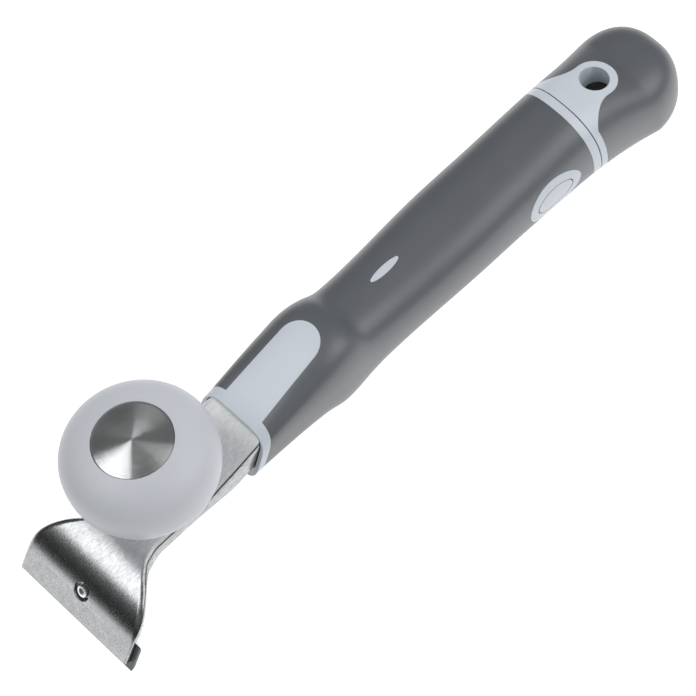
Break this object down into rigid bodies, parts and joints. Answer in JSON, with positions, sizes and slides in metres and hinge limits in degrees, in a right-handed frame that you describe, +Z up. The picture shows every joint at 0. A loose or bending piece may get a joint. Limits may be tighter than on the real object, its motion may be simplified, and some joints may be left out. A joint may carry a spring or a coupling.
{
  "type": "paint scraper",
  "caption": "Two-handed paint scraper with a clamped steel blade, round palm knob on a pressed steel shank, soft-grip handle and a pull-out end cap that stores spare blades.",
  "frame": {"origin": "bottom centre of the tool's bounding box, on the table under the handle's middle", "axes": "+X from the blade edge to the end cap along the handle, +Y across with the release button on the -Y side, +Z up from the table on which the blade edge and the heel rest"},
  "size_m": [0.2561, 0.0514, 0.0641],
  "materials": {
    "shank_steel": "brushed across, satin",
    "disc_steel": "spun, satin",
    "blade_steel": "ground",
    "zinc_steel": "zinc plated",
    "spring_steel": "bright",
    "brass": "turned",
    "core_plastic": "fine satin",
    "knob_plastic": "satin",
    "grip_rubber": "soft matt"
  },
  "bodies": {
    "handle": {"shank": "shank_steel", "handle_core": "core_plastic", "handle_grip": "grip_rubber", "tang_pin_front": "zinc_steel", "tang_pin_rear": "zinc_steel", "knob_ball": "knob_plastic", "knob_disc": "disc_steel", "knob_insert": "brass", "knob_washer": "zinc_steel", "knob_bolt": "zinc_steel"},
    "clamp_screw": {"clamp_screw": "zinc_steel"},
    "clamp_plate": {"clamp_plate": "zinc_steel"},
    "blade": {"blade": "blade_steel"},
    "release_button": {"release_button": "core_plastic"},
    "cap": {"cap_core": "core_plastic", "cap_grip": "grip_rubber", "blade_tray": "core_plastic", "spare_blade_1": "blade_steel", "spare_blade_2": "blade_steel", "latch_spring": "spring_steel"}
  },
  "joints": [
    {"name": "screw_turn", "type": "hinge", "parent": "handle", "child": "clamp_screw", "pos_m": [-0.12255, 0, 0.01094], "axis": [-0.809, 0, 0.5878], "range_deg": [0, 1080]},
    {"name": "plate_slide", "type": "slide", "parent": "handle", "child": "clamp_plate", "axis": [0.809, 0, -0.5878], "range_m": [0, 0.0021]},
    {"name": "blade_slide", "type": "slide", "parent": "handle", "child": "blade", "axis": [0, 1, 0], "range_m": [0, 0.052]},
    {"name": "button_press", "type": "slide", "parent": "handle", "child": "release_button", "axis": [0, 1, 0], "range_m": [0, 0.002], "stiffness_N_per_m": 600, "springref_m": -0.001, "deforming": ["latch_spring"]},
    {"name": "cap_pull", "type": "slide", "parent": "handle", "child": "cap", "axis": [1, 0, 0], "range_m": [0, 0.092], "deforming": ["latch_spring"]}
  ],
  "couplings": [
    {"joint": "screw_turn", "follows": "plate_slide", "rad_per_m": 8976}
  ]
}
